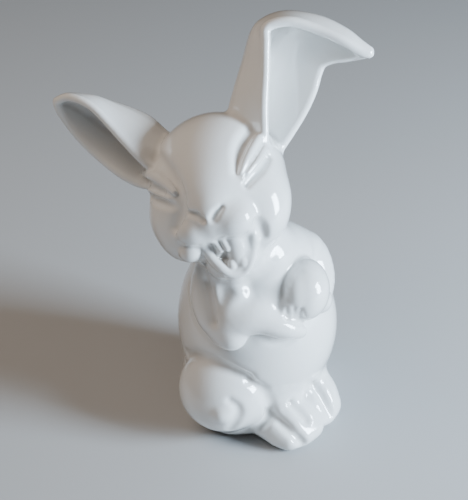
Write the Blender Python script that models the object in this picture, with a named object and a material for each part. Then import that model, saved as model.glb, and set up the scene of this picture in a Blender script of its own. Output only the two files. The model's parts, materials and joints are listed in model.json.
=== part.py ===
"""Laughing hare, a white glazed porcelain figurine, cast in one piece.

The hare sits up on its haunches and holds its belly. Its head is thrown back, turned and tipped to
its right, and one ear flops over at the top. The whole figure is one solid, flat underneath.
+Z is up, the hare's chest faces -Y, and its left side is at +X. The origin is on the underside.
"""

import math

import bmesh
import bpy
import numpy as np
from mathutils import Euler, Matrix
from mathutils.bvhtree import BVHTree

# The figure's height, from the table to the top of the folded ear, in metres.
HEIGHT = 0.150

# The carving is set out in points, of which the figure is this many tall, so that every place and
# size below is a share of the height.
POINTS_TALL = 143.2
POINT = HEIGHT / POINTS_TALL

# How finely the clay is worked, in points, and how many triangles the finished solid keeps.
ROUGH_GRAIN = 1.1
FINE_GRAIN = 0.9
TRIANGLES = 9600

# A form is left out of account farther from it than this, in points.
REACH = 5.0

# The head's own frame: it is carved upright and facing -Y, then set on the neck with this turn.
BODY = Matrix.Identity(4)
HEAD_PLACE = (-11.4, 5.0, 89.0)
HEAD_TURN = (-25.2, -17.4, -37.2)

# The turn of a mass whose broad side faces forward, up and to the hare's right.
FORWARD = (-35, 0, -35)


def turned(degrees):
    """A turn about X, then Y, then Z, as a 4 by 4 matrix."""
    return Euler([math.radians(angle) for angle in degrees]).to_matrix().to_4x4()


HEAD = Matrix.Translation(HEAD_PLACE) @ turned(HEAD_TURN)


def smooth_line(points, steps):
    """A Catmull-Rom curve through the points, each of any number of values."""
    knots = np.array([points[0], *points, points[-1]], float)
    line = []
    for before, start, end, after in zip(knots, knots[1:], knots[2:], knots[3:]):
        for share in np.arange(steps) / steps:
            line.append(
                start
                + 0.5 * share * (end - before)
                + share**2 * (before - 2.5 * start + 2 * end - 0.5 * after)
                + share**3 * (1.5 * start - 0.5 * before - 1.5 * end + 0.5 * after)
            )
    return np.array([*line, knots[-1]])


class Ball:
    """A rounded mass: its centre, its half sizes and its turn in degrees."""

    def __init__(self, at, half, turn=(0, 0, 0), frame=BODY):
        self.matrix = frame @ Matrix.Translation(at) @ turned(turn)
        self.half = np.array(half, float)
        centre = np.array(self.matrix.translation)
        reach = np.sqrt(np.array(self.matrix.to_3x3()) ** 2 @ self.half**2)
        self.low, self.high = centre - reach, centre + reach

    def rough(self, clay):
        stretch = Matrix.Diagonal((*self.half, 1))
        bmesh.ops.create_icosphere(clay, subdivisions=3, radius=1, matrix=self.matrix @ stretch)

    def field(self, points):
        spin = np.array(self.matrix.to_3x3())
        local = (points - np.array(self.matrix.translation)) @ spin
        reach = np.maximum(np.linalg.norm(local / self.half, axis=1), 1e-6)
        slope = local / self.half**2
        steep = np.maximum(np.linalg.norm(slope, axis=1), 1e-9)
        return reach * (reach - 1) / steep, (slope / steep[:, None]) @ spin.T


class Roll:
    """A rounded limb, welt or groove: a ball run along a smooth line of (x, y, z, radius)."""

    def __init__(self, line, frame=BODY, steps=4):
        line = smooth_line(line, steps)
        spin = np.array(frame.to_3x3())
        self.centres = line[:, :3] @ spin.T + np.array(frame.translation)
        self.radii = line[:, 3]
        self.low = (self.centres - self.radii[:, None]).min(0)
        self.high = (self.centres + self.radii[:, None]).max(0)

    def rough(self, clay):
        for centre, radius in zip(self.centres, self.radii):
            place = Matrix.Translation(centre)
            bmesh.ops.create_icosphere(clay, subdivisions=2, radius=radius, matrix=place)

    def field(self, points):
        value = np.full(len(points), np.inf)
        slope = np.zeros_like(points)
        ends = zip(self.centres, self.centres[1:], self.radii, self.radii[1:])
        for start, end, radius, next_radius in ends:
            along = end - start
            share = np.clip((points - start) @ along / (along @ along), 0, 1)
            offset = points - start - share[:, None] * along
            distance = np.maximum(np.linalg.norm(offset, axis=1), 1e-6)
            gap = distance - radius - share * (next_radius - radius)
            nearer = gap < value
            value[nearer] = gap[nearer]
            slope[nearer] = (offset / distance[:, None])[nearer]
        return value, slope


class Ear:
    """A cupped leaf with a wall of even thickness, run through guide lines from rim to rim."""

    ALONG, ACROSS = 6, 5

    def __init__(self, guides, wall):
        self.wall = wall
        lines = [smooth_line(line, self.ALONG) for line in guides]
        self.sheet = bmesh.new()
        rows = []
        for stations in zip(*lines):
            row = smooth_line(stations, self.ACROSS)
            rows.append([self.sheet.verts.new(place) for place in row])
        for row, next_row in zip(rows, rows[1:]):
            for here, beside, above_beside, above in zip(row, row[1:], next_row[1:], next_row):
                self.sheet.faces.new((here, beside, above_beside, above))
        bmesh.ops.remove_doubles(self.sheet, verts=self.sheet.verts, dist=1e-3)
        self.sheet.normal_update()
        self.tree = BVHTree.FromBMesh(self.sheet)
        corners = np.array([vertex.co for vertex in self.sheet.verts])
        self.low, self.high = corners.min(0) - wall / 2, corners.max(0) + wall / 2

    def rough(self, clay):
        shell = self.sheet.copy()
        for vertex in shell.verts:
            vertex.co -= vertex.normal * self.wall / 2
        bmesh.ops.solidify(shell, geom=shell.faces[:], thickness=-self.wall)
        bmesh.ops.recalc_face_normals(shell, faces=shell.faces[:])
        mesh = bpy.data.meshes.new("shell")
        shell.to_mesh(mesh)
        clay.from_mesh(mesh)
        bpy.data.meshes.remove(mesh)
        shell.free()
        for vertex in self.sheet.verts:
            if vertex.is_boundary:
                place = Matrix.Translation(vertex.co)
                bmesh.ops.create_icosphere(clay, subdivisions=2, radius=self.wall / 2, matrix=place)

    def field(self, points):
        value = np.full(len(points), 3 * self.wall)
        slope = np.zeros_like(points)
        for index, point in enumerate(points):
            place, _, _, distance = self.tree.find_nearest(point, 4 * self.wall)
            if place is not None:
                value[index] = distance - self.wall / 2
                slope[index] = (point - place) / max(distance, 1e-6)
        return value, slope


class Ground:
    """All that lies below the table top, where the figure is cut off flat."""

    low, high = np.array((-math.inf, -math.inf, -math.inf)), np.array((math.inf, math.inf, 0.0))

    def field(self, points):
        return points[:, 2].copy(), np.tile((0.0, 0.0, 1.0), (len(points), 1))


def meld(first, second, soft):
    """Two forms run into one, with a fillet about as wide as soft. Each is (distance, slope)."""
    (near, near_slope), (far, far_slope) = first, second
    share = np.clip(0.5 + 0.5 * (far - near) / soft, 0, 1)
    value = far * (1 - share) + near * share - soft * share * (1 - share)
    return value, far_slope * (1 - share)[:, None] + near_slope * share[:, None]


def hollowed(first, second, soft):
    """The first form with the second scooped out of it."""
    value, slope = meld((-first[0], -first[1]), second, soft)
    return -value, -slope


class Clay:
    """The figure as it is built up: forms are pressed on and scooped out, one after another."""

    def __init__(self):
        self.steps = []

    def add(self, form, soft):
        self.steps.append((meld, form, soft))

    def cut(self, form, soft):
        self.steps.append((hollowed, form, soft))

    def field(self, points):
        """How far each point lies outside the figure, and which way is out."""
        value = np.full(len(points), 50.0)
        slope = np.tile((0.0, 0.0, 1.0), (len(points), 1))
        for join, form, soft in self.steps:
            margin = soft + REACH
            near = ((points > form.low - margin) & (points < form.high + margin)).all(axis=1)
            if near.any():
                here = form.field(points[near])
                value[near], slope[near] = join((value[near], slope[near]), here, soft)
        return value, slope

    def rough(self, name):
        """The forms pressed on, as one closed mesh, before any fillet."""
        pile = bmesh.new()
        for join, form, _ in self.steps:
            if join is meld:
                form.rough(pile)
        mesh = bpy.data.meshes.new(name)
        pile.to_mesh(mesh)
        pile.free()
        figure = bpy.data.objects.new(name, mesh)
        bpy.context.scene.collection.objects.link(figure)
        regrain(figure, ROUGH_GRAIN)
        return figure


def baked(figure):
    """Applies the figure's modifiers to its mesh."""
    graph = bpy.context.evaluated_depsgraph_get()
    mesh = bpy.data.meshes.new_from_object(figure.evaluated_get(graph))
    figure.modifiers.clear()
    old = figure.data
    figure.data = mesh
    bpy.data.meshes.remove(old)
    figure.data.name = figure.name


def regrain(figure, grain):
    """Lays an even net of faces over the figure."""
    remesh = figure.modifiers.new("regrain", "REMESH")
    remesh.mode = "VOXEL"
    remesh.voxel_size = grain
    baked(figure)


def settle(figure, clay, rounds, relax=0.0):
    """Slides every vertex onto the filleted form, evening the net out between the moves."""
    mesh = figure.data
    count = len(mesh.vertices)
    points = np.empty(count * 3)
    mesh.vertices.foreach_get("co", points)
    points = points.reshape(-1, 3)
    edges = np.empty(len(mesh.edges) * 2, int)
    mesh.edges.foreach_get("vertices", edges)
    start, end = edges.reshape(-1, 2).T
    ties = np.bincount(start, minlength=count) + np.bincount(end, minlength=count)
    for _ in range(rounds):
        if relax:
            total = np.zeros_like(points)
            np.add.at(total, start, points[end])
            np.add.at(total, end, points[start])
            points += relax * (total / ties[:, None] - points)
        for _ in range(2):
            value, slope = clay.field(points)
            steep = np.maximum((slope**2).sum(1), 0.2)
            step = np.clip(value / steep, -ROUGH_GRAIN, ROUGH_GRAIN)
            points -= slope * step[:, None]
    mesh.vertices.foreach_set("co", points.ravel())
    mesh.update()


def torso(clay):
    """A pear-shaped body: belly, back and chest, the ruff under the chin, and a small tail."""
    clay.add(Ball((1.2, -1, 32), (27.5, 26, 31.5)), 1)
    clay.add(Ball((-1, 1, 5), (21, 19, 9)), 6)
    clay.add(Ball((0, 8, 36), (22.2, 19, 32)), 8)
    clay.add(Ball((-2.2, -1, 57), (15.9, 15, 16)), 9)
    clay.add(Ball((-5, -7, 70), (13, 13, 11)), 5)
    clay.add(Ball((6.2, -5, 64.0), (11.1, 12, 9.3)), 5)
    clay.add(Ball((2, 25, 13.5), (6.5, 6, 7)), 3.5)


def hind_legs(clay):
    """The right leg, folded beside the belly with its knee up and its heel showing, and the left."""
    clay.add(Ball((-15.6, 2.4, 13), (9.9, 15.2, 14)), 3)
    clay.add(Ball((-20.0, -3.5, 8), (8.0, 10, 9)), 2)
    clay.add(Ball((-19.2, -9.0, 18.6), (16.2, 13, 15.6), FORWARD), 3)
    clay.add(Ball((-15, -13.4, 4.6), (5.4, 5.6, 4.6)), 4)
    clay.add(Ball((-19.4, -8.4, 6), (5.2, 7.6, 6.2)), 4)
    clay.add(Ball((15, 4, 14), (8.5, 14.5, 15)), 3)
    clay.add(Ball((-27.2, -18.2, 17.0), (2.8, 2.8, 2.8)), 2.5)
    for groove, soft in (
        ([(-26.4, 5.0, 26.6, 0.3), (-26.1, -6.6, 33.0, 0.7), (-22.9, -14.1, 32.5, 0.7),
          (-17.6, -19.7, 29.4, 0.5)], 4),
        ([(-25.0, -19.8, 22.8, 0.3), (-23.4, -21.7, 20.7, 0.8), (-23.2, -22.7, 18.0, 1.1),
          (-24.4, -22.6, 14.6, 1.0), (-25.6, -21.0, 10.2, 0.6)], 2.4),
    ):
        clay.cut(Roll(groove), soft)


def feet(clay):
    """Two long feet side by side, each with long rounded toes."""
    clay.add(Ball((-4, -20, 7.5), (8.5, 13, 8.4), (14, 0, -4)), 8)
    clay.add(Ball((11.5, -16, 9), (8, 12.5, 9.4), (14, 0, 4)), 4.5)
    for toe, soft in (
        ([(-10.5, -22, 6.5, 5), (-9.2, -27, 5, 4.6), (-7.4, -30.4, 4.4, 4.2)], 2.5),
        ([(-4.2, -22.6, 7.6, 4.3), (-3.6, -26.5, 7.4, 4.9), (-2.2, -31, 4.5, 4.3)], 3),
        ([(0.5, -22.4, 7.6, 4.3), (1.4, -26.3, 7.4, 4.9), (2.6, -30, 4.5, 4.3)], 3),
        ([(7.6, -19, 9.0, 4.4), (8.5, -23.5, 8.3, 5), (9.4, -27.3, 4.8, 4.4)], 3),
        ([(11.8, -16.8, 9.0, 4.3), (12.6, -21, 8.3, 4.9), (14, -24.7, 4.8, 4.4)], 4.5),
    ):
        clay.add(Roll(toe), soft)
    for groove, soft in (
        ([(-11.1, -23.0, 13.4, 0.5), (-9.9, -26.0, 11.8, 1.0), (-8.5, -30.0, 9.9, 1.3),
          (-7.3, -33.0, 7.9, 1.3), (-5.0, -34.7, 4.2, 1)], 2),
        ([(-16.7, -20.0, 27.6, 0.3), (-13.8, -22.9, 24.2, 0.9), (-10.9, -23.7, 17.5, 1.0),
          (-11.5, -24.1, 12.1, 0.9), (-15.5, -23.8, 8.0, 0.4)], 3),
        ([(-3.4, -25.2, 15.2, 0.2), (-2.4, -28.6, 13.1, 0.8), (-1.0, -31.4, 10.2, 0.6)], 2.5),
        ([(8.2, -23.1, 16.6, 0.2), (9.2, -27.3, 12.2, 0.8), (10.2, -31.4, 6.7, 0.6)], 2.5),
    ):
        clay.cut(Roll(groove), soft)


def arms(clay):
    """The right arm folded across the belly, and the left one over it with its paw drooping."""
    clay.add(Ball((-7.2, -14.2, 58.9), (14, 7.6, 7.8), FORWARD), 5)
    clay.add(Ball((-17.9, -10.9, 63.2), (4.4, 3.8, 4.4)), 4)
    for limb, soft in (
        ([(-19, -3, 64, 7), (-21.8, -5, 57.5, 6.8), (-22.6, -8.6, 52, 6.8), (-21.2, -13, 48.6, 6.5)], 2),
        ([(-22, -8.5, 64.4, 2.8), (-23.8, -11.0, 59.3, 3), (-24, -13.2, 53, 2.6)], 2.5),
        ([(-22.5, -0.5, 61, 2.8), (-25, -4, 56, 2.8), (-25.5, -9.0, 51.6, 2.4)], 2.5),
        ([(-21.3, -14.6, 48.2, 6.0), (-18.8, -16.2, 52.6, 6.4), (-13.8, -17.2, 55.4, 6.4),
          (-8.2, -18, 55.6, 6.0)], 2.5),
        ([(-18.6, -15.8, 62.4, 1.8), (-21.6, -15.4, 58.6, 2.2), (-23.8, -15.2, 51.6, 2.2)], 4),
        ([(-20.5, -15.5, 54.6, 4.2), (-16.2, -20.0, 54.4, 4.4), (-10.7, -24.2, 52.2, 4.2),
          (-6.2, -26.2, 49.8, 3.9),
          (-2.0, -27, 47.0, 2.6)], 3.5),
        ([(7, -3, 62.5, 8.5), (14.5, -5.5, 58.5, 9.2), (15.4, -11, 53, 8), (12.5, -17, 50, 5.8)], 2.5),
    ):
        clay.add(Roll(limb), soft)
    clay.add(Ball((-22, -17.0, 47.8), (4.9, 4.9, 5)), 1.5)
    clay.add(Ball((3.5, -21.9, 58.9), (8.6, 9.5, 10.5), FORWARD), 1.6)
    clay.add(Ball((-1.3, -23.6, 61.2), (4.0, 5.0, 6.8), FORWARD), 1.5)
    clay.add(Ball((-4.2, -24.0, 56.4), (4.2, 4.2, 4.8)), 1.2)
    clay.add(Ball((9.3, -22.7, 52.5), (4.6, 4.6, 5)), 1.5)
    for fold, soft in (
        ([(-21.7, 9.7, 52.1, 1.0), (-23.7, 5.4, 49.2, 1.1), (-25.4, 1.2, 44.9, 1.2),
          (-25.8, -4.2, 42.6, 1.1),
          (-25.1, -9.1, 40.7, 0.9), (-23.2, -13.4, 39.8, 0.6)], 1.8),
        ([(-25.5, -7.2, 64.4, 0.8), (-26.5, -10.3, 61.0, 1.1), (-27.1, -14.0, 53.8, 0.6)], 3),
        ([(-14.5, -19.6, 47.0, 0.4), (-12.7, -20.9, 45.4, 0.8), (-9.2, -23.5, 43.4, 1.0),
          (-4.2, -25.2, 43.1, 1.0), (-0.2, -26.2, 44.8, 0.5)], 2),
        ([(-6.9, -26.5, 57.7, 0.4), (-6.9, -26.9, 56.2, 0.7), (-6.9, -27.1, 54.6, 0.7)], 1.4),
        ([(-5.2, -28.1, 58.2, 0.4), (-5.1, -28.2, 56.2, 0.7), (-4.8, -28.3, 54.3, 0.7)], 1.4),
        ([(-3.2, -29.2, 57.8, 0.3), (-3.1, -29.2, 56.0, 0.6), (-2.4, -28.8, 53.7, 0.7)], 1.4),
    ):
        clay.cut(Roll(fold), soft)


def skull(clay):
    """The round skull with its puffed-out cheeks and the broad bridge of the nose."""

    def mass(at, half, soft, turn=(0, 0, 0)):
        clay.add(Ball(at, half, turn, HEAD), soft)

    mass((0.4, 0, 3), (22.3, 22, 22.5), 2)
    for side in (-1, 1):
        mass((side * 12.5, -7, -5), (10.8, 12, 12), 4)
    mass((0, -12, -1), (11, 13, 11.5), 8)
    mass((0.5, -9, -18.6), (10.4, 10.5, 10), 4.5)
    for side in (-1, 1):
        mass((side * 12.2, -9.5, -12), (6.8, 7.5, 7), 5)
    mass((0, -20.4, -3.0), (5.4, 5.4, 4.8), 4)


def mouth(clay):
    """The mouth wide open in laughter: its hollow, the lip round it, the tongue and the teeth."""
    clay.cut(Ball((2.2, -21.5, -17.6), (7.2, 6.2, 8), (0, 0, 0), HEAD), 1.2)
    for line, soft in (
        ([(-6.2, -17.0, -14.2, 1.5), (-4.7, -17.3, -18.5, 1.6), (-2.3, -17.6, -22.2, 1.6),
          (0.3, -16.4, -25.1, 1.6), (3.7, -15.4, -25.5, 1.6), (6.7, -15.6, -22.8, 1.6),
          (8.7, -15.2, -18.8, 1.5), (10.4, -16.2, -14.3, 1.4)], 1),
        ([(3.9, -15.9, -12.5, 3.9), (3.6, -15.2, -17.0, 4.0), (3.5, -15.3, -20.3, 3.1)], 1.4),
        ([(-2.6, -18.9, -11.5, 1.3), (-0.9, -18.3, -16.6, 1.1)], 0.5),
        ([(0.2, -18.9, -11.5, 1.3), (1.3, -18.5, -16.6, 1.1)], 0.5),
        ([(1.1, -16.9, -22.4, 1.5), (1.2, -17.3, -21.4, 1.3)], 0.5),
        ([(4.7, -16.3, -22.4, 1.5), (4.8, -16.8, -21.4, 1.3)], 0.5),
    ):
        clay.add(Roll(line, HEAD), soft)


def muzzle(clay):
    """Two full lip pads run into the bridge, the button of the nose, and the corner of the jaw."""
    for at, half, soft in (
        ((5.6, -19.6, -7.4), (7.2, 6.2, 6.2), 2.2),
        ((-6.7, -19.0, -8.4), (6.8, 5.7, 5.2), 2.5),
        ((-0.9, -22.2, -5.0), (3.2, 3.4, 3.0), 2),
        ((-0.7, -20.9, -8.2), (3.8, 3.4, 3.6), 3),
        ((-10.7, -15.8, -15.1), (4.1, 4.1, 3.8), 0.8),
    ):
        clay.add(Ball(at, half, (0, 0, 0), HEAD), soft)
    for line, soft in (
        ([(-5.9, -23.4, -2.6, 0.7), (-3.9, -25.2, -3.6, 1.1), (-2.3, -25.3, -5.4, 0.7)], 1.5),
        ([(4.0, -25.1, -2.9, 0.3), (2.3, -25.7, -4.1, 0.7), (0.9, -25.9, -5.6, 0.6)], 2),
        ([(-6.9, -16.2, -15.2, 1.1), (-7.7, -15.6, -17.6, 1.3), (-8.0, -14.8, -20.0, 1.1)], 0.8),
        ([(13.0, -19.6, -10.7, 1.2), (13.4, -18.1, -13.0, 1.6), (13.1, -16.4, -15.8, 1.1)], 2),
    ):
        clay.cut(Roll(line, HEAD), soft)


def eyes(clay):
    """Eyes squeezed shut with laughing: a brow furrow, two lids with a slit between, and a bag."""

    def eye(brow, upper, lower, slit, bag):
        clay.cut(Roll(brow, HEAD), 3.5)
        clay.add(Roll(upper, HEAD), 1.2)
        clay.add(Roll(lower, HEAD), 1.2)
        clay.cut(Roll(slit, HEAD), 0.9)
        clay.cut(Roll(bag, HEAD), 2)

    eye(
        brow=[(15.9, -8.9, 16.1, 0.9), (14.3, -12.8, 14.0, 1.5), (12.8, -15.9, 11.5, 1.4),
              (11.4, -18.0, 8.6, 0.6), (10.8, -19.6, 6.0, 0.2)],
        upper=[(17.9, -8.9, 13.7, 1.3), (15.9, -12.9, 11.4, 1.4), (13.8, -16.2, 8.7, 1.2),
               (11.7, -18.7, 5.4, 0.8)],
        lower=[(18.9, -9.1, 9.9, 1.3), (17.0, -13.4, 7.6, 1.4), (14.6, -16.6, 5.4, 1.2),
               (12.1, -18.9, 3.4, 0.8)],
        slit=[(18.4, -8.7, 11.9, 0.7), (16.5, -13.1, 9.6, 0.8), (14.0, -16.5, 7.1, 0.8),
              (11.7, -19.0, 4.1, 0.5)],
        bag=[(19.6, -9.6, 7.2, 0.9), (17.4, -14.3, 5.0, 1.0), (14.7, -17.3, 3.2, 0.9),
             (12.3, -19.2, 1.4, 0.6)],
    )
    eye(
        brow=[(-16.0, -8.6, 16.7, 1.0), (-11.9, -16.2, 12.4, 1.5), (-9.2, -20.6, 7.0, 1.8),
              (-8.5, -22.4, 1.8, 1.6), (-10.4, -21.3, -3.0, 1.2), (-12.5, -19.8, -6.4, 0.6)],
        upper=[(-22.6, 0.0, 11.4, 1.5), (-19.3, -8.0, 11.0, 1.7), (-15.4, -14.0, 9.6, 1.7),
               (-11.8, -18.5, 7.0, 1.4), (-9.5, -21.3, 4.1, 0.8)],
        lower=[(-20.3, -8.0, 6.2, 1.1), (-15.7, -15.7, 4.4, 1.1), (-12.5, -19.1, 2.6, 0.9)],
        slit=[(-23.5, -2.5, 9.2, 0.9), (-20.4, -8.7, 8.4, 1.2), (-17.3, -13.5, 7.2, 1.3),
              (-13.8, -18.0, 5.3, 0.6)],
        bag=[(-20.4, -9.7, 4.0, 0.9), (-15.7, -17.1, 2.3, 1.2), (-11.8, -20.6, 0.6, 0.8)],
    )


def ears(clay):
    """The left ear stands up and flops over to its side. The right ear sweeps out and back."""
    left = Ear(
        [
            [(-4.5, -2.7, 97.0), (-1.4, -4.7, 101.9), (-0.3, -3.5, 110.0), (1.7, -0.4, 118.7),
             (5.2, 3.7, 128.2), (7.6, 7.0, 135.6), (9.6, 8.8, 139.9), (15.6, 5.2, 141.5),
             (22.6, -0.3, 139.0), (28.3, -5.9, 135.8), (32.9, -9.1, 132.4), (35.5, -10.4, 131.2)],
            [(-2.5, 6.5, 98.0), (-2.2, 8.4, 104.9), (-2.1, 11.0, 111.5), (0.5, 12.0, 118.2),
             (5.5, 14.1, 126.6), (9.7, 15.5, 135.1), (13.9, 15.2, 138.2), (20.0, 12.5, 139.7),
             (26.9, 5.3, 139.0), (31.8, -1.9, 136.3), (34.1, -7.5, 133.4), (35.7, -10.1, 131.7)],
            [(3.5, 8.0, 93.0), (8.4, 10.0, 98.5), (8.7, 13.2, 105.5), (10.7, 15.0, 112.7),
             (14.5, 17.0, 121.7), (18.2, 17.9, 129.2), (22.3, 16.4, 134.4), (26.4, 11.8, 135.8),
             (29.8, 5.6, 134.8), (32.8, -1.0, 133.1), (34.7, -6.3, 131.9), (35.7, -10.1, 131.7)],
            [(1.5, 0.5, 92.0), (6.4, 0.4, 97.3), (13.8, 1.1, 104.2), (19.2, 1.3, 110.6),
             (23.2, 2.0, 116.4), (25.9, 3.1, 121.6), (27.5, 2.8, 124.5), (29.6, 0.2, 126.6),
             (31.8, -3.2, 127.9), (33.7, -6.3, 129.3), (34.7, -8.9, 130.6), (35.6, -10.2, 131.5)],
        ],
        wall=3.3,
    )
    right = Ear(
        [
            [(-23.5, 13.0, 93.5), (-28.2, 15.4, 96.6), (-31.6, 17.8, 100.1), (-34.5, 22.0, 104.8),
             (-37.1, 28.3, 110.0), (-39.5, 33.8, 114.5), (-41.8, 38.5, 116.4), (-44.3, 43.3, 116.4),
             (-46.8, 46.3, 114.4)],
            [(-15.9, 20.4, 98.0), (-18.7, 27.0, 102.6), (-21.8, 31.0, 106.6), (-26.1, 34.9, 109.3),
             (-30.9, 38.7, 111.6), (-35.3, 41.9, 113.6), (-39.5, 44.2, 114.5), (-43.3, 45.8, 115.0),
             (-46.8, 46.3, 114.4)],
            [(-17.0, 24.0, 90.0), (-19.1, 31.8, 90.6), (-22.3, 35.5, 92.2), (-26.6, 39.8, 95.5),
             (-31.2, 43.9, 100.0), (-35.1, 47.3, 104.3), (-38.7, 48.5, 107.9), (-42.9, 48.5, 111.5),
             (-46.8, 46.3, 114.4)],
            [(-23.7, 13.7, 90.0), (-29.1, 17.8, 90.4), (-31.5, 23.3, 89.6), (-34.9, 28.9, 91.7),
             (-38.1, 35.9, 95.5), (-41.3, 40.8, 100.3), (-43.9, 44.2, 105.6), (-46.2, 46.0, 111.1),
             (-46.8, 46.3, 114.4)],
        ],
        wall=2.8,
    )
    clay.add(left, 3)
    clay.add(right, 3)


def white_glaze():
    """Glossy white porcelain glaze."""
    glaze = bpy.data.materials.new("white_glaze")
    glaze.use_nodes = True
    shader = glaze.node_tree.nodes["Principled BSDF"]
    shader.inputs["Base Color"].default_value = (0.82, 0.81, 0.79, 1)
    shader.inputs["Roughness"].default_value = 0.12
    shader.inputs["Metallic"].default_value = 0.0
    return glaze


def flattened(figure, depth):
    """Presses the underside flat: all that lies within this depth of the table goes down onto it."""
    for vertex in figure.data.vertices:
        if vertex.co.z < depth:
            vertex.co.z = 0


def thinned(figure, triangles):
    """Leaves the figure this many triangles, most of them where it bends most."""
    count = sum(len(face.vertices) - 2 for face in figure.data.polygons)
    decimate = figure.modifiers.new("thinned", "DECIMATE")
    decimate.ratio = triangles / count
    decimate.use_collapse_triangulate = True
    baked(figure)


def sculpted(clay, name):
    """The clay as one closed mesh, in points."""
    figure = clay.rough(name)
    settle(figure, clay, 4, relax=0.4)
    regrain(figure, FINE_GRAIN)
    settle(figure, clay, 3, relax=0.3)
    flattened(figure, 0.12)
    return figure


def main():
    for old in list(bpy.data.objects):
        bpy.data.objects.remove(old)
    clay = Clay()
    torso(clay)
    hind_legs(clay)
    feet(clay)
    arms(clay)
    ears(clay)
    skull(clay)
    mouth(clay)
    muzzle(clay)
    eyes(clay)
    clay.cut(Ground(), 0.8)
    figure = sculpted(clay, "hare")
    thinned(figure, TRIANGLES)
    flattened(figure, 0.12)
    figure.data.transform(Matrix.Scale(POINT, 4))
    figure.data.shade_smooth()
    figure.data.materials.append(white_glaze())


if __name__ == "__main__":
    main()
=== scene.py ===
"""Laughing hare, a white glazed porcelain figurine: its looks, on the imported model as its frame.

+Z is up, the hare's chest faces -Y, and its left side is at +X. All lengths are in metres, apart
from the carving, which is set out in points and scaled to metres once.
"""

import json
import math

import bmesh
import bpy
import numpy as np
from mathutils import Euler, Matrix, Vector
from mathutils.bvhtree import BVHTree

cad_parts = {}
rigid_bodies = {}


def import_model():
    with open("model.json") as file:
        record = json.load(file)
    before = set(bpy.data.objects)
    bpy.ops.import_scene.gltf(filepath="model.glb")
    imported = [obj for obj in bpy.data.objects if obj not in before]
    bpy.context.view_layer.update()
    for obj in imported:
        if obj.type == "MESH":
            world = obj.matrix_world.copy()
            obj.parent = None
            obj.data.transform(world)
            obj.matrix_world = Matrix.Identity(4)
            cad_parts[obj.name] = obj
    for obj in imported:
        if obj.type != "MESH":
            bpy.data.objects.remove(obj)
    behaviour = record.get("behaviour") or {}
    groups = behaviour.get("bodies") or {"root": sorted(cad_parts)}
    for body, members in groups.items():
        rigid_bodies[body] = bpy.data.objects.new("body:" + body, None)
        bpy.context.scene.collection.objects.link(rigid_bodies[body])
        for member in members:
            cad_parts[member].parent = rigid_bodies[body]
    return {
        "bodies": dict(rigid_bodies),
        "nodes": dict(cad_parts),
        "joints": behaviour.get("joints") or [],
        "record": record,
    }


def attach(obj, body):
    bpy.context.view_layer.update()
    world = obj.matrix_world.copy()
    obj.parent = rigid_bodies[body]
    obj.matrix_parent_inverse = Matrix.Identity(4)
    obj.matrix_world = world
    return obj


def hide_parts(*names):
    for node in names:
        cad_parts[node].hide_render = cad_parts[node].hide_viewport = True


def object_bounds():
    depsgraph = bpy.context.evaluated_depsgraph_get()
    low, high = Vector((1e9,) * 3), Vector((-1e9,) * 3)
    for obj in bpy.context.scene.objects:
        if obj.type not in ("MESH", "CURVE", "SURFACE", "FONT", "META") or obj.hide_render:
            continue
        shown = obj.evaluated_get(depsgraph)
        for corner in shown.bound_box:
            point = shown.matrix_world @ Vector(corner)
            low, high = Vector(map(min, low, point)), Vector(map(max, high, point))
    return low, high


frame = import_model()
cad_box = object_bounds()

# The hare. The real one is a hollow slip casting of porcelain, its ears, arms and feet luted on
# while soft and smoothed over, then dipped in clear glaze and fired. Only the flat foot it stands
# on is left bare. The forms are those of the solid, in a finer grain.

# The figure's height, and how many points tall it is set out.
HEIGHT = 0.150
POINTS_TALL = 143.2
POINT = HEIGHT / POINTS_TALL

# How finely the clay is worked, in points. The face has four times as many faces as the rest.
ROUGH_GRAIN = 1.1
FINE_GRAIN = 0.76
FACE_MIDDLE = (0, -18, -2)
FACE_REACH = 25

# A form is left out of account farther from it than this, in points.
REACH = 5.0

# What lies nearer the table than this, in points, is pressed flat onto it.
PRESSED = 0.12

# The least steepness of the form's distance that a vertex is slid by.
LEAST_SLOPE = 0.2

# The head's own frame: it is carved upright and facing -Y, then set on the neck with this turn.
BODY = Matrix.Identity(4)
HEAD_PLACE = (-11.4, 5.0, 89.0)
HEAD_TURN = (-25.2, -17.4, -37.2)

# The turn of a mass whose broad side faces forward, up and to the hare's right.
FORWARD = (-35, 0, -35)


def turned(degrees):
    """A turn about X, then Y, then Z, as a 4 by 4 matrix."""
    return Euler([math.radians(angle) for angle in degrees]).to_matrix().to_4x4()


HEAD = Matrix.Translation(HEAD_PLACE) @ turned(HEAD_TURN)


def smooth_line(points, steps):
    """A Catmull-Rom curve through the points, each of any number of values."""
    knots = np.array([points[0], *points, points[-1]], float)
    line = []
    for before, start, end, after in zip(knots, knots[1:], knots[2:], knots[3:]):
        for share in np.arange(steps) / steps:
            line.append(
                start
                + 0.5 * share * (end - before)
                + share**2 * (before - 2.5 * start + 2 * end - 0.5 * after)
                + share**3 * (1.5 * start - 0.5 * before - 1.5 * end + 0.5 * after)
            )
    return np.array([*line, knots[-1]])


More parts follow.
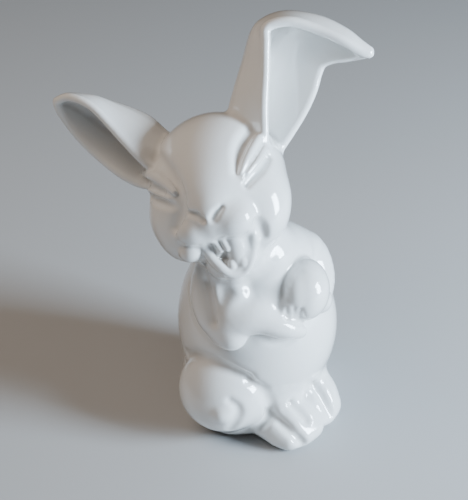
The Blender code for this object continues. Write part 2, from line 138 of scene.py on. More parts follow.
class Ball:
    """A rounded mass: its centre, its half sizes and its turn in degrees."""

    def __init__(self, at, half, turn=(0, 0, 0), frame=BODY):
        self.matrix = frame @ Matrix.Translation(at) @ turned(turn)
        self.half = np.array(half, float)
        centre = np.array(self.matrix.translation)
        reach = np.sqrt(np.array(self.matrix.to_3x3()) ** 2 @ self.half**2)
        self.low, self.high = centre - reach, centre + reach

    def rough(self, clay):
        stretch = Matrix.Diagonal((*self.half, 1))
        bmesh.ops.create_icosphere(clay, subdivisions=3, radius=1, matrix=self.matrix @ stretch)

    def field(self, points):
        spin = np.array(self.matrix.to_3x3())
        local = (points - np.array(self.matrix.translation)) @ spin
        reach = np.maximum(np.linalg.norm(local / self.half, axis=1), 1e-6)
        slope = local / self.half**2
        steep = np.maximum(np.linalg.norm(slope, axis=1), 1e-9)
        return reach * (reach - 1) / steep, (slope / steep[:, None]) @ spin.T


class Roll:
    """A rounded limb, welt or groove: a ball run along a smooth line of (x, y, z, radius)."""

    # Steps of the smooth line between two given points.
    STEPS = 4

    def __init__(self, line, frame=BODY):
        line = smooth_line(line, self.STEPS)
        spin = np.array(frame.to_3x3())
        self.centres = line[:, :3] @ spin.T + np.array(frame.translation)
        self.radii = line[:, 3]
        self.low = (self.centres - self.radii[:, None]).min(0)
        self.high = (self.centres + self.radii[:, None]).max(0)

    def rough(self, clay):
        for centre, radius in zip(self.centres, self.radii):
            place = Matrix.Translation(centre)
            bmesh.ops.create_icosphere(clay, subdivisions=2, radius=radius, matrix=place)

    def field(self, points):
        value = np.full(len(points), np.inf)
        slope = np.zeros_like(points)
        ends = zip(self.centres, self.centres[1:], self.radii, self.radii[1:])
        for start, end, radius, next_radius in ends:
            along = end - start
            share = np.clip((points - start) @ along / (along @ along), 0, 1)
            offset = points - start - share[:, None] * along
            distance = np.maximum(np.linalg.norm(offset, axis=1), 1e-6)
            gap = distance - radius - share * (next_radius - radius)
            nearer = gap < value
            value[nearer] = gap[nearer]
            slope[nearer] = (offset / distance[:, None])[nearer]
        return value, slope


class Ear:
    """A cupped leaf with a wall of even thickness, run through guide lines from rim to rim."""

    # Steps between two given points, along the guide lines and across them.
    ALONG, ACROSS = 6, 5

    def __init__(self, guides, wall):
        self.wall = wall
        lines = [smooth_line(line, self.ALONG) for line in guides]
        self.sheet = bmesh.new()
        rows = []
        for stations in zip(*lines):
            row = smooth_line(stations, self.ACROSS)
            rows.append([self.sheet.verts.new(place) for place in row])
        for row, next_row in zip(rows, rows[1:]):
            for here, beside, above_beside, above in zip(row, row[1:], next_row[1:], next_row):
                self.sheet.faces.new((here, beside, above_beside, above))
        bmesh.ops.remove_doubles(self.sheet, verts=self.sheet.verts, dist=1e-3)
        self.sheet.normal_update()
        self.tree = BVHTree.FromBMesh(self.sheet)
        corners = np.array([vertex.co for vertex in self.sheet.verts])
        self.low, self.high = corners.min(0) - wall / 2, corners.max(0) + wall / 2

    def rough(self, clay):
        shell = self.sheet.copy()
        for vertex in shell.verts:
            vertex.co -= vertex.normal * self.wall / 2
        bmesh.ops.solidify(shell, geom=shell.faces[:], thickness=-self.wall)
        bmesh.ops.recalc_face_normals(shell, faces=shell.faces[:])
        mesh = bpy.data.meshes.new("shell")
        shell.to_mesh(mesh)
        clay.from_mesh(mesh)
        bpy.data.meshes.remove(mesh)
        shell.free()
        for vertex in self.sheet.verts:
            if vertex.is_boundary:
                place = Matrix.Translation(vertex.co)
                bmesh.ops.create_icosphere(clay, subdivisions=2, radius=self.wall / 2, matrix=place)

    def field(self, points):
        value = np.full(len(points), 3 * self.wall)
        slope = np.zeros_like(points)
        for index, point in enumerate(points):
            place, _, _, distance = self.tree.find_nearest(point, 4 * self.wall)
            if place is not None:
                value[index] = distance - self.wall / 2
                slope[index] = (point - place) / max(distance, 1e-6)
        return value, slope


class Ground:
    """All that lies below the table top, where the figure is cut off flat."""

    low, high = np.array((-math.inf, -math.inf, -math.inf)), np.array((math.inf, math.inf, 0.0))

    def field(self, points):
        return points[:, 2].copy(), np.tile((0.0, 0.0, 1.0), (len(points), 1))


def meld(first, second, soft):
    """Two forms run into one, with a fillet about as wide as soft. Each is (distance, slope)."""
    (near, near_slope), (far, far_slope) = first, second
    share = np.clip(0.5 + 0.5 * (far - near) / soft, 0, 1)
    value = far * (1 - share) + near * share - soft * share * (1 - share)
    return value, far_slope * (1 - share)[:, None] + near_slope * share[:, None]


def hollowed(first, second, soft):
    """The first form with the second scooped out of it."""
    value, slope = meld((-first[0], -first[1]), second, soft)
    return -value, -slope


class Clay:
    """The figure as it is built up: forms are pressed on and scooped out, one after another."""

    # How far outside a point counts that no form is near, in points.
    FAR = 50.0

    def __init__(self):
        self.steps = []

    def add(self, form, soft):
        self.steps.append((meld, form, soft))

    def cut(self, form, soft):
        self.steps.append((hollowed, form, soft))

    def field(self, points):
        """How far each point lies outside the figure, and which way is out."""
        value = np.full(len(points), self.FAR)
        slope = np.tile((0.0, 0.0, 1.0), (len(points), 1))
        for join, form, soft in self.steps:
            margin = soft + REACH
            near = ((points > form.low - margin) & (points < form.high + margin)).all(axis=1)
            if near.any():
                here = form.field(points[near])
                value[near], slope[near] = join((value[near], slope[near]), here, soft)
        return value, slope

    def rough(self, name):
        """The forms pressed on, as one closed mesh, before any fillet."""
        pile = bmesh.new()
        for join, form, _ in self.steps:
            if join is meld:
                form.rough(pile)
        mesh = bpy.data.meshes.new(name)
        pile.to_mesh(mesh)
        pile.free()
        figure = bpy.data.objects.new(name, mesh)
        bpy.context.scene.collection.objects.link(figure)
        regrain(figure, ROUGH_GRAIN)
        return figure


def baked(figure):
    """Applies the figure's modifiers to its mesh."""
    graph = bpy.context.evaluated_depsgraph_get()
    mesh = bpy.data.meshes.new_from_object(figure.evaluated_get(graph))
    figure.modifiers.clear()
    old = figure.data
    figure.data = mesh
    bpy.data.meshes.remove(old)
    figure.data.name = figure.name


def regrain(figure, grain):
    """Lays an even net of faces over the figure."""
    remesh = figure.modifiers.new("regrain", "REMESH")
    remesh.mode = "VOXEL"
    remesh.voxel_size = grain
    baked(figure)


def settle(figure, clay, rounds, relax):
    """Slides every vertex onto the filleted form, evening the net out between the moves."""
    mesh = figure.data
    count = len(mesh.vertices)
    points = np.empty(count * 3)
    mesh.vertices.foreach_get("co", points)
    points = points.reshape(-1, 3)
    edges = np.empty(len(mesh.edges) * 2, int)
    mesh.edges.foreach_get("vertices", edges)
    start, end = edges.reshape(-1, 2).T
    ties = np.bincount(start, minlength=count) + np.bincount(end, minlength=count)
    for _ in range(rounds):
        total = np.zeros_like(points)
        np.add.at(total, start, points[end])
        np.add.at(total, end, points[start])
        points += relax * (total / ties[:, None] - points)
        for _ in range(2):
            value, slope = clay.field(points)
            steep = np.maximum((slope**2).sum(1), LEAST_SLOPE)
            step = np.clip(value / steep, -ROUGH_GRAIN, ROUGH_GRAIN)
            points -= slope * step[:, None]
    mesh.vertices.foreach_set("co", points.ravel())
    mesh.update()


def torso(clay):
    """A pear-shaped body: belly, back and chest, the ruff under the chin, and a small tail."""
    clay.add(Ball((1.2, -1, 32), (27.5, 26, 31.5)), 1)
    clay.add(Ball((-1, 1, 5), (21, 19, 9)), 6)
    clay.add(Ball((0, 8, 36), (22.2, 19, 32)), 8)
    clay.add(Ball((-2.2, -1, 57), (15.9, 15, 16)), 9)
    clay.add(Ball((-5, -7, 70), (13, 13, 11)), 5)
    clay.add(Ball((6.2, -5, 64.0), (11.1, 12, 9.3)), 5)
    clay.add(Ball((2, 25, 13.5), (6.5, 6, 7)), 3.5)


def hind_legs(clay):
    """The right leg, folded beside the belly with its knee up and its heel showing, and the left."""
    clay.add(Ball((-15.6, 2.4, 13), (9.9, 15.2, 14)), 3)
    clay.add(Ball((-20.0, -3.5, 8), (8.0, 10, 9)), 2)
    clay.add(Ball((-19.2, -9.0, 18.6), (16.2, 13, 15.6), FORWARD), 3)
    clay.add(Ball((-15, -13.4, 4.6), (5.4, 5.6, 4.6)), 4)
    clay.add(Ball((-19.4, -8.4, 6), (5.2, 7.6, 6.2)), 4)
    clay.add(Ball((15, 4, 14), (8.5, 14.5, 15)), 3)
    clay.add(Ball((-27.2, -18.2, 17.0), (2.8, 2.8, 2.8)), 2.5)
    for groove, soft in (
        ([(-26.4, 5.0, 26.6, 0.3), (-26.1, -6.6, 33.0, 0.7), (-22.9, -14.1, 32.5, 0.7),
          (-17.6, -19.7, 29.4, 0.5)], 4),
        ([(-25.0, -19.8, 22.8, 0.3), (-23.4, -21.7, 20.7, 0.8), (-23.2, -22.7, 18.0, 1.1),
          (-24.4, -22.6, 14.6, 1.0), (-25.6, -21.0, 10.2, 0.6)], 2.4),
    ):
        clay.cut(Roll(groove), soft)


def feet(clay):
    """Two long feet side by side, each with long rounded toes."""
    clay.add(Ball((-4, -20, 7.5), (8.5, 13, 8.4), (14, 0, -4)), 8)
    clay.add(Ball((11.5, -16, 9), (8, 12.5, 9.4), (14, 0, 4)), 4.5)
    for toe, soft in (
        ([(-10.5, -22, 6.5, 5), (-9.2, -27, 5, 4.6), (-7.4, -30.4, 4.4, 4.2)], 2.5),
        ([(-4.2, -22.6, 7.6, 4.3), (-3.6, -26.5, 7.4, 4.9), (-2.2, -31, 4.5, 4.3)], 3),
        ([(0.5, -22.4, 7.6, 4.3), (1.4, -26.3, 7.4, 4.9), (2.6, -30, 4.5, 4.3)], 3),
        ([(7.6, -19, 9.0, 4.4), (8.5, -23.5, 8.3, 5), (9.4, -27.3, 4.8, 4.4)], 3),
        ([(11.8, -16.8, 9.0, 4.3), (12.6, -21, 8.3, 4.9), (14, -24.7, 4.8, 4.4)], 4.5),
    ):
        clay.add(Roll(toe), soft)
    for groove, soft in (
        ([(-11.1, -23.0, 13.4, 0.5), (-9.9, -26.0, 11.8, 1.0), (-8.5, -30.0, 9.9, 1.3),
          (-7.3, -33.0, 7.9, 1.3), (-5.0, -34.7, 4.2, 1)], 2),
        ([(-16.7, -20.0, 27.6, 0.3), (-13.8, -22.9, 24.2, 0.9), (-10.9, -23.7, 17.5, 1.0),
          (-11.5, -24.1, 12.1, 0.9), (-15.5, -23.8, 8.0, 0.4)], 3),
        ([(-3.4, -25.2, 15.2, 0.2), (-2.4, -28.6, 13.1, 0.8), (-1.0, -31.4, 10.2, 0.6)], 2.5),
        ([(8.2, -23.1, 16.6, 0.2), (9.2, -27.3, 12.2, 0.8), (10.2, -31.4, 6.7, 0.6)], 2.5),
    ):
        clay.cut(Roll(groove), soft)


def arms(clay):
    """The right arm folded across the belly, and the left one over it with its paw drooping."""
    clay.add(Ball((-7.2, -14.2, 58.9), (14, 7.6, 7.8), FORWARD), 5)
    clay.add(Ball((-17.9, -10.9, 63.2), (4.4, 3.8, 4.4)), 4)
    for limb, soft in (
        ([(-19, -3, 64, 7), (-21.8, -5, 57.5, 6.8), (-22.6, -8.6, 52, 6.8),
          (-21.2, -13, 48.6, 6.5)], 2),
        ([(-22, -8.5, 64.4, 2.8), (-23.8, -11.0, 59.3, 3), (-24, -13.2, 53, 2.6)], 2.5),
        ([(-22.5, -0.5, 61, 2.8), (-25, -4, 56, 2.8), (-25.5, -9.0, 51.6, 2.4)], 2.5),
        ([(-21.3, -14.6, 48.2, 6.0), (-18.8, -16.2, 52.6, 6.4), (-13.8, -17.2, 55.4, 6.4),
          (-8.2, -18, 55.6, 6.0)], 2.5),
        ([(-18.6, -15.8, 62.4, 1.8), (-21.6, -15.4, 58.6, 2.2), (-23.8, -15.2, 51.6, 2.2)], 4),
        ([(-20.5, -15.5, 54.6, 4.2), (-16.2, -20.0, 54.4, 4.4), (-10.7, -24.2, 52.2, 4.2),
          (-6.2, -26.2, 49.8, 3.9), (-2.0, -27, 47.0, 2.6)], 3.5),
        ([(7, -3, 62.5, 8.5), (14.5, -5.5, 58.5, 9.2), (15.4, -11, 53, 8),
          (12.5, -17, 50, 5.8)], 2.5),
    ):
        clay.add(Roll(limb), soft)
    clay.add(Ball((-22, -17.0, 47.8), (4.9, 4.9, 5)), 1.5)
    clay.add(Ball((3.5, -21.9, 58.9), (8.6, 9.5, 10.5), FORWARD), 1.6)
    clay.add(Ball((-1.3, -23.6, 61.2), (4.0, 5.0, 6.8), FORWARD), 1.5)
    clay.add(Ball((-4.2, -24.0, 56.4), (4.2, 4.2, 4.8)), 1.2)
    clay.add(Ball((9.3, -22.7, 52.5), (4.6, 4.6, 5)), 1.5)
    for fold, soft in (
        ([(-21.7, 9.7, 52.1, 1.0), (-23.7, 5.4, 49.2, 1.1), (-25.4, 1.2, 44.9, 1.2),
          (-25.8, -4.2, 42.6, 1.1), (-25.1, -9.1, 40.7, 0.9), (-23.2, -13.4, 39.8, 0.6)], 1.8),
        ([(-25.5, -7.2, 64.4, 0.8), (-26.5, -10.3, 61.0, 1.1), (-27.1, -14.0, 53.8, 0.6)], 3),
        ([(-14.5, -19.6, 47.0, 0.4), (-12.7, -20.9, 45.4, 0.8), (-9.2, -23.5, 43.4, 1.0),
          (-4.2, -25.2, 43.1, 1.0), (-0.2, -26.2, 44.8, 0.5)], 2),
        ([(-6.9, -26.5, 57.7, 0.4), (-6.9, -26.9, 56.2, 0.7), (-6.9, -27.1, 54.6, 0.7)], 1.4),
        ([(-5.2, -28.1, 58.2, 0.4), (-5.1, -28.2, 56.2, 0.7), (-4.8, -28.3, 54.3, 0.7)], 1.4),
        ([(-3.2, -29.2, 57.8, 0.3), (-3.1, -29.2, 56.0, 0.6), (-2.4, -28.8, 53.7, 0.7)], 1.4),
    ):
        clay.cut(Roll(fold), soft)


def skull(clay):
    """The round skull with its puffed-out cheeks and the broad bridge of the nose."""

    def mass(at, half, soft):
        clay.add(Ball(at, half, frame=HEAD), soft)

    mass((0.4, 0, 3), (22.3, 22, 22.5), 2)
    for side in (-1, 1):
        mass((side * 12.5, -7, -5), (10.8, 12, 12), 4)
    mass((0, -12, -1), (11, 13, 11.5), 8)
    mass((0.5, -9, -18.6), (10.4, 10.5, 10), 4.5)
    for side in (-1, 1):
        mass((side * 12.2, -9.5, -12), (6.8, 7.5, 7), 5)
    mass((0, -20.4, -3.0), (5.4, 5.4, 4.8), 4)


def mouth(clay):
    """The mouth wide open in laughter: its hollow, the lip round it, the tongue and the teeth."""
    clay.cut(Ball((2.2, -21.5, -17.6), (7.2, 6.2, 8), frame=HEAD), 1.2)
    for line, soft in (
        ([(-6.2, -17.0, -14.2, 1.5), (-4.7, -17.3, -18.5, 1.6), (-2.3, -17.6, -22.2, 1.6),
          (0.3, -16.4, -25.1, 1.6), (3.7, -15.4, -25.5, 1.6), (6.7, -15.6, -22.8, 1.6),
          (8.7, -15.2, -18.8, 1.5), (10.4, -16.2, -14.3, 1.4)], 1),
        ([(3.9, -15.9, -12.5, 3.9), (3.6, -15.2, -17.0, 4.0), (3.5, -15.3, -20.3, 3.1)], 1.4),
        ([(-2.6, -18.9, -11.5, 1.3), (-0.9, -18.3, -16.6, 1.1)], 0.5),
        ([(0.2, -18.9, -11.5, 1.3), (1.3, -18.5, -16.6, 1.1)], 0.5),
        ([(1.1, -16.9, -22.4, 1.5), (1.2, -17.3, -21.4, 1.3)], 0.5),
        ([(4.7, -16.3, -22.4, 1.5), (4.8, -16.8, -21.4, 1.3)], 0.5),
    ):
        clay.add(Roll(line, HEAD), soft)


def muzzle(clay):
    """Two full lip pads and the nose run into one, its nostrils, and the corner of the jaw."""
    for at, half, soft in (
        ((5.6, -19.6, -7.4), (7.2, 6.2, 6.2), 2.2),
        ((-6.7, -19.0, -8.4), (6.8, 5.7, 5.2), 2.5),
        ((-0.9, -22.2, -5.0), (3.2, 3.4, 3.0), 2),
        ((-0.7, -20.9, -8.2), (3.8, 3.4, 3.6), 3),
        ((-10.7, -15.8, -15.1), (4.1, 4.1, 3.8), 0.8),
    ):
        clay.add(Ball(at, half, frame=HEAD), soft)
    for line, soft in (
        ([(-5.9, -23.4, -2.6, 0.7), (-3.9, -25.2, -3.6, 1.1), (-2.3, -25.3, -5.4, 0.7)], 1.5),
        ([(4.0, -25.1, -2.9, 0.3), (2.3, -25.7, -4.1, 0.7), (0.9, -25.9, -5.6, 0.6)], 2),
        ([(-6.9, -16.2, -15.2, 1.1), (-7.7, -15.6, -17.6, 1.3), (-8.0, -14.8, -20.0, 1.1)], 0.8),
        ([(13.0, -19.6, -10.7, 1.2), (13.4, -18.1, -13.0, 1.6), (13.1, -16.4, -15.8, 1.1)], 2),
    ):
        clay.cut(Roll(line, HEAD), soft)


def eyes(clay):
    """Eyes squeezed shut with laughing: a brow furrow, two lids with a slit between, and a bag."""

    def eye(brow, upper, lower, slit, bag):
        clay.cut(Roll(brow, HEAD), 3.5)
        clay.add(Roll(upper, HEAD), 1.2)
        clay.add(Roll(lower, HEAD), 1.2)
        clay.cut(Roll(slit, HEAD), 0.9)
        clay.cut(Roll(bag, HEAD), 2)

    eye(
        brow=[(15.9, -8.9, 16.1, 0.9), (14.3, -12.8, 14.0, 1.5), (12.8, -15.9, 11.5, 1.4),
              (11.4, -18.0, 8.6, 0.6), (10.8, -19.6, 6.0, 0.2)],
        upper=[(17.9, -8.9, 13.7, 1.3), (15.9, -12.9, 11.4, 1.4), (13.8, -16.2, 8.7, 1.2),
               (11.7, -18.7, 5.4, 0.8)],
        lower=[(18.9, -9.1, 9.9, 1.3), (17.0, -13.4, 7.6, 1.4), (14.6, -16.6, 5.4, 1.2),
               (12.1, -18.9, 3.4, 0.8)],
        slit=[(18.4, -8.7, 11.9, 0.7), (16.5, -13.1, 9.6, 0.8), (14.0, -16.5, 7.1, 0.8),
              (11.7, -19.0, 4.1, 0.5)],
        bag=[(19.6, -9.6, 7.2, 0.9), (17.4, -14.3, 5.0, 1.0), (14.7, -17.3, 3.2, 0.9),
             (12.3, -19.2, 1.4, 0.6)],
    )
    eye(
        brow=[(-16.0, -8.6, 16.7, 1.0), (-11.9, -16.2, 12.4, 1.5), (-9.2, -20.6, 7.0, 1.8),
              (-8.5, -22.4, 1.8, 1.6), (-10.4, -21.3, -3.0, 1.2), (-12.5, -19.8, -6.4, 0.6)],
        upper=[(-22.6, 0.0, 11.4, 1.5), (-19.3, -8.0, 11.0, 1.7), (-15.4, -14.0, 9.6, 1.7),
               (-11.8, -18.5, 7.0, 1.4), (-9.5, -21.3, 4.1, 0.8)],
        lower=[(-20.3, -8.0, 6.2, 1.1), (-15.7, -15.7, 4.4, 1.1), (-12.5, -19.1, 2.6, 0.9)],
        slit=[(-23.5, -2.5, 9.2, 0.9), (-20.4, -8.7, 8.4, 1.2), (-17.3, -13.5, 7.2, 1.3),
              (-13.8, -18.0, 5.3, 0.6)],
        bag=[(-20.4, -9.7, 4.0, 0.9), (-15.7, -17.1, 2.3, 1.2), (-11.8, -20.6, 0.6, 0.8)],
    )


def ears(clay):
    """The left ear stands up and flops over to its side. The right ear sweeps out and back."""
    left = Ear(
        [
            [(-4.5, -2.7, 97.0), (-1.4, -4.7, 101.9), (-0.3, -3.5, 110.0), (1.7, -0.4, 118.7),
             (5.2, 3.7, 128.2), (7.6, 7.0, 135.6), (9.6, 8.8, 139.9), (15.6, 5.2, 141.5),
             (22.6, -0.3, 139.0), (28.3, -5.9, 135.8), (32.9, -9.1, 132.4), (35.5, -10.4, 131.2)],
            [(-2.5, 6.5, 98.0), (-2.2, 8.4, 104.9), (-2.1, 11.0, 111.5), (0.5, 12.0, 118.2),
             (5.5, 14.1, 126.6), (9.7, 15.5, 135.1), (13.9, 15.2, 138.2), (20.0, 12.5, 139.7),
             (26.9, 5.3, 139.0), (31.8, -1.9, 136.3), (34.1, -7.5, 133.4), (35.7, -10.1, 131.7)],
            [(3.5, 8.0, 93.0), (8.4, 10.0, 98.5), (8.7, 13.2, 105.5), (10.7, 15.0, 112.7),
             (14.5, 17.0, 121.7), (18.2, 17.9, 129.2), (22.3, 16.4, 134.4), (26.4, 11.8, 135.8),
             (29.8, 5.6, 134.8), (32.8, -1.0, 133.1), (34.7, -6.3, 131.9), (35.7, -10.1, 131.7)],
            [(1.5, 0.5, 92.0), (6.4, 0.4, 97.3), (13.8, 1.1, 104.2), (19.2, 1.3, 110.6),
             (23.2, 2.0, 116.4), (25.9, 3.1, 121.6), (27.5, 2.8, 124.5), (29.6, 0.2, 126.6),
             (31.8, -3.2, 127.9), (33.7, -6.3, 129.3), (34.7, -8.9, 130.6), (35.6, -10.2, 131.5)],
        ],
        wall=3.3,
    )
    right = Ear(
        [
            [(-23.5, 13.0, 93.5), (-28.2, 15.4, 96.6), (-31.6, 17.8, 100.1), (-34.5, 22.0, 104.8),
             (-37.1, 28.3, 110.0), (-39.5, 33.8, 114.5), (-41.8, 38.5, 116.4), (-44.3, 43.3, 116.4),
             (-46.8, 46.3, 114.4)],
            [(-15.9, 20.4, 98.0), (-18.7, 27.0, 102.6), (-21.8, 31.0, 106.6), (-26.1, 34.9, 109.3),
             (-30.9, 38.7, 111.6), (-35.3, 41.9, 113.6), (-39.5, 44.2, 114.5), (-43.3, 45.8, 115.0),
             (-46.8, 46.3, 114.4)],
            [(-17.0, 24.0, 90.0), (-19.1, 31.8, 90.6), (-22.3, 35.5, 92.2), (-26.6, 39.8, 95.5),
             (-31.2, 43.9, 100.0), (-35.1, 47.3, 104.3), (-38.7, 48.5, 107.9), (-42.9, 48.5, 111.5),
             (-46.8, 46.3, 114.4)],
            [(-23.7, 13.7, 90.0), (-29.1, 17.8, 90.4), (-31.5, 23.3, 89.6), (-34.9, 28.9, 91.7),
             (-38.1, 35.9, 95.5), (-41.3, 40.8, 100.3), (-43.9, 44.2, 105.6), (-46.2, 46.0, 111.1),
             (-46.8, 46.3, 114.4)],
        ],
        wall=2.8,
    )
    clay.add(left, 3)
    clay.add(right, 3)


def flattened(figure):
    """Presses the underside flat onto the table."""
    for vertex in figure.data.vertices:
        if vertex.co.z < PRESSED:
            vertex.co.z = 0


def sculpted(clay, name):
    """The clay as one closed mesh, in points."""
    figure = clay.rough(name)
    settle(figure, clay, 4, relax=0.4)
    regrain(figure, FINE_GRAIN)
    settle(figure, clay, 3, relax=0.3)
    flattened(figure)
    return figure


clay = Clay()
for carve in (torso, hind_legs, feet, arms, ears, skull, mouth, muzzle, eyes):
    carve(clay)
clay.cut(Ground(), 0.8)
hare = sculpted(clay, "hare_figure")


def refined(figure, middle, reach):
    """Splits the faces within reach of the middle, for carving finer than the rest."""
    net = bmesh.new()
    net.from_mesh(figure.data)
    inside = {vertex for vertex in net.verts if (vertex.co - middle).length < reach}
    edges = [edge for edge in net.edges if inside.issuperset(edge.verts)]
    bmesh.ops.subdivide_edges(net, edges=edges, cuts=1, use_grid_fill=True)
    net.to_mesh(figure.data)
    net.free()


refined(hare, HEAD @ Vector(FACE_MIDDLE), FACE_REACH)
settle(hare, clay, 2, relax=0.2)
flattened(hare)
hare.data.transform(Matrix.Scale(POINT, 4))


def vertex_rows(mesh, name):
    """The places (co) or normals of a mesh's vertices, as rows of an array."""
    rows = np.empty((len(mesh.vertices), 3))
    mesh.vertices.foreach_get(name, rows.ravel())
    return rows


# No vertex leaves the solid's box, which the coarser net there makes a hair smaller.
places = np.clip(vertex_rows(hare.data, "co"), *cad_box)
hare.data.vertices.foreach_set("co", places.ravel())
hare.data.update()
hare.data.shade_smooth()

# How deep each vertex lies in a crease, in metres: its depth below the form evened out this often.
EVENING_ROUNDS = 14
edges = np.empty((len(hare.data.edges), 2), int)
hare.data.edges.foreach_get("vertices", edges.ravel())
ties = np.bincount(edges.ravel())[:, None]
evened = places
for _ in range(EVENING_ROUNDS):
    total = np.zeros_like(evened)
    np.add.at(total, edges[:, 0], evened[edges[:, 1]])
    np.add.at(total, edges[:, 1], evened[edges[:, 0]])
    evened = total / ties
depth = ((evened - places) * vertex_rows(hare.data, "normal")).sum(axis=1)
hare.data.attributes.new("crease", "FLOAT", "POINT").data.foreach_set("value", depth)


class Socket:
    """A shader socket that Python's arithmetic works on, adding the Math nodes it stands for."""

    def __init__(self, sheet, output):
        self.sheet = sheet
        self.output = output

    def maths(self, operation, *values):
        return self.sheet.node("ShaderNodeMath", {"operation": operation}, dict(enumerate(values)))

    def __add__(self, other):
        return self.maths("ADD", self, other)

    def __sub__(self, other):
        return self.maths("SUBTRACT", self, other)

    def __rsub__(self, other):
        return self.maths("SUBTRACT", other, self)

    def __mul__(self, other):
        return self.maths("MULTIPLY", self, other)

    __radd__ = __add__
    __rmul__ = __mul__


class Sheet:
    """A material's node sheet, starting from its Principled shader."""

    def __init__(self, name):
        self.material = bpy.data.materials.new(name)
        self.material.use_nodes = True
        self.nodes = self.material.node_tree.nodes
        self.links = self.material.node_tree.links
        self.shader = self.nodes["Principled BSDF"]

    def put(self, socket, value):
        if isinstance(value, Socket):
            self.links.new(value.output, socket)
        else:
            socket.default_value = value

    def node(self, kind, settings, sockets, output=0):
        """A new node with its settings made first, then its sockets set or linked."""
        made = self.nodes.new(kind)
        for name, value in settings.items():
            setattr(made, name, value)
        for name, value in sockets.items():
            self.put(made.inputs[name], value)
        return Socket(self, made.outputs[output])

    def blend(self, share, first, second):
        """Two colours run into each other: index 6 and 7 are the Mix node's colour sockets."""
        colours = {"data_type": "RGBA"}
        return self.node("ShaderNodeMix", colours, {0: share, 6: first, 7: second}, output=2)

    def ramp(self, value, low, high):
        """From 0 where the value is low to 1 where it is high, eased at both ends."""
        limits = {"Value": value, "From Min": low, "From Max": high}
        return self.node("ShaderNodeMapRange", {"interpolation_type": "SMOOTHERSTEP"}, limits)


# The glaze: clear and glossy over white porcelain, with a faint ripple. The creases are greyed,
# partly for the glaze run thick there and partly as painted shade. The foot it stands on is bare,
# matt and faintly rough.
COOL_WHITE = (0.80, 0.80, 0.79, 1)
WARM_WHITE = (0.86, 0.85, 0.83, 1)
# The crease grey stands partly for pooled glaze and partly for painted shade.
CREASE_GLAZE_AND_SHADE_GREY = (0.50, 0.47, 0.43, 1)
BARE_CLAY = (0.72, 0.70, 0.66, 1)

# Heights and depths in metres: where the bare foot ends and the full glaze begins, how much that
# line wavers, where a crease begins to be greyed with pooled glaze and painted shade and where it
# is greyed fully, and how high the ripple and the grit stand.
FOOT_TOP, GLAZE_START = 0.0008, 0.0013
WAVER = 0.0008
CREASE_START, CREASE_FULL = 0.0001, 0.0009
RIPPLE_HEIGHT = 0.00004
GRIT_HEIGHT = 0.00006

glaze = Sheet("porcelain_glaze")
crease = glaze.node("ShaderNodeAttribute", {"attribute_name": "crease"}, {}, output="Fac")
place = glaze.node("ShaderNodeTexCoord", {}, {}, output="Object")
height = glaze.node("ShaderNodeSeparateXYZ", {}, {"Vector": place}, output="Z")
waver = glaze.node("ShaderNodeTexNoise", {}, {"Vector": place, "Scale": 220.0, "Detail": 2.0})
glazed = glaze.ramp(height + waver * WAVER, FOOT_TOP, GLAZE_START)
drift = glaze.node("ShaderNodeTexNoise", {}, {"Vector": place, "Scale": 28.0, "Detail": 3.0})
body = glaze.blend(drift, COOL_WHITE, WARM_WHITE)
# Painted shade: each crease is greyed by its depth, besides the glaze pooled in it.
crease_glaze_and_shade = glaze.ramp(crease, CREASE_START, CREASE_FULL) * 0.4
tint = glaze.blend(crease_glaze_and_shade, body, CREASE_GLAZE_AND_SHADE_GREY)
colour = glaze.blend(glazed, BARE_CLAY, tint)
glaze.put(glaze.shader.inputs["Base Color"], colour)
glaze.put(glaze.shader.inputs["Roughness"], 0.62 - glazed * 0.5 + drift * 0.05)
glaze.put(glaze.shader.inputs["Coat Weight"], glazed)
glaze.put(glaze.shader.inputs["Coat Roughness"], 0.04)
ripple = glaze.node("ShaderNodeTexNoise", {}, {"Vector": place, "Scale": 260.0, "Detail": 2.0})
grit = glaze.node("ShaderNodeTexNoise", {}, {"Vector": place, "Scale": 2400.0, "Detail": 3.0})
relief = ripple * glazed * RIPPLE_HEIGHT + grit * (1 - glazed) * GRIT_HEIGHT
bump = glaze.node("ShaderNodeBump", {}, {"Height": relief, "Strength": 1.0, "Distance": 1.0})
glaze.put(glaze.shader.inputs["Normal"], bump)
hare.data.materials.append(glaze.material)
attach(hare, "root")
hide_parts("hare")

# The studio. A level floor of pale matt paper, lit by one broad cool light from the picture's
# right, a weak warm one from its upper left and the dim light of the room.
bpy.ops.object.select_all(action="DESELECT")
bpy.ops.mesh.primitive_plane_add(size=6.0, location=(0, 0, 0))
floor = bpy.context.object
floor.name = "floor"
paper = Sheet("pale_paper")
paper.put(paper.shader.inputs["Base Color"], (0.46, 0.46, 0.46, 1))
paper.put(paper.shader.inputs["Roughness"], 0.9)
floor.data.materials.append(paper.material)

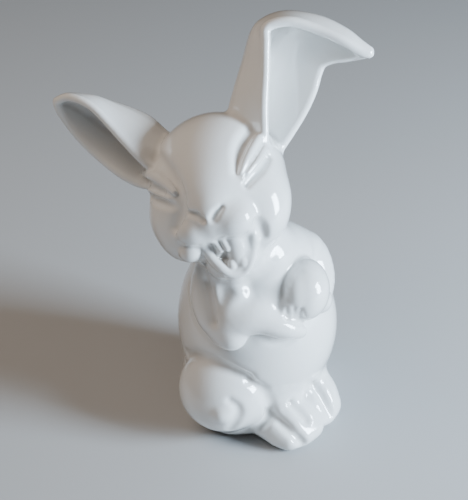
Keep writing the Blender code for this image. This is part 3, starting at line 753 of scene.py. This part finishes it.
# The camera stands to the front of the hare's right and looks down on it, with a long lens. Its
# place is measured in points, as the carving is. The focal length is in pixels of the photograph.
AROUND = math.radians(35)
ABOVE = math.radians(35)
CAMERA_PLACE = (-217.3, -297.0, 321.1)
PHOTO_HEIGHT = 500
FOCAL_LENGTH = 1327.5
right = np.array((math.cos(AROUND), -math.sin(AROUND), 0))
back = np.array(
    (-math.sin(AROUND) * math.cos(ABOVE), -math.cos(AROUND) * math.cos(ABOVE), math.sin(ABOVE))
)
up = np.cross(back, right)
eye = np.array(CAMERA_PLACE) * POINT


def facing(right, up, back, at):
    """The place and turn of something at a point that looks away from back."""
    matrix = Matrix.Identity(4)
    for column, axis in enumerate((right, up, back, at)):
        for row in range(3):
            matrix[row][column] = axis[row]
    return matrix


camera = bpy.data.objects.new("camera", bpy.data.cameras.new("camera"))
bpy.context.scene.collection.objects.link(camera)
camera.data.sensor_fit = "VERTICAL"
camera.data.angle = 2 * math.atan(PHOTO_HEIGHT / 2 / FOCAL_LENGTH)
camera.data.clip_start = 0.01
camera.matrix_world = facing(right, up, back, eye)
bpy.context.scene.camera = camera


# How far the lights stand from the figure, in metres.
LIGHT_DISTANCE = 0.6


def soft_light(name, toward, width, height, power, colour, mirrored):
    """A light that faces the figure from a direction in the camera's axes: right, up and back.

    If it is not mirrored, the glaze is lit by it but does not show it as a highlight.
    """
    lamp = bpy.data.lights.new(name, "AREA")
    lamp.shape = "RECTANGLE"
    lamp.size = width
    lamp.size_y = height
    lamp.energy = power
    lamp.color = colour
    light = bpy.data.objects.new(name, lamp)
    bpy.context.scene.collection.objects.link(light)
    way = right * toward[0] + up * toward[1] + back * toward[2]
    way = way / np.linalg.norm(way)
    side = np.cross((0, 0, 1), way)
    side = side / np.linalg.norm(side)
    middle = np.array((0, 0, HEIGHT / 2))
    light.matrix_world = facing(side, np.cross(way, side), way, middle + way * LIGHT_DISTANCE)
    light.visible_glossy = mirrored


soft_light("key", (0.92, 0.0, 0.38), 0.20, 0.30, 15.0, (0.66, 0.83, 1.0), mirrored=True)
soft_light("fill", (-0.5, 0.65, 0.55), 0.45, 0.45, 2.0, (1.0, 0.84, 0.70), mirrored=False)

world = bpy.data.worlds.new("room")
world.use_nodes = True
ambient = world.node_tree.nodes["Background"]
ambient.inputs["Color"].default_value = (0.95, 0.88, 0.80, 1)
ambient.inputs["Strength"].default_value = 0.08
bpy.context.scene.world = world
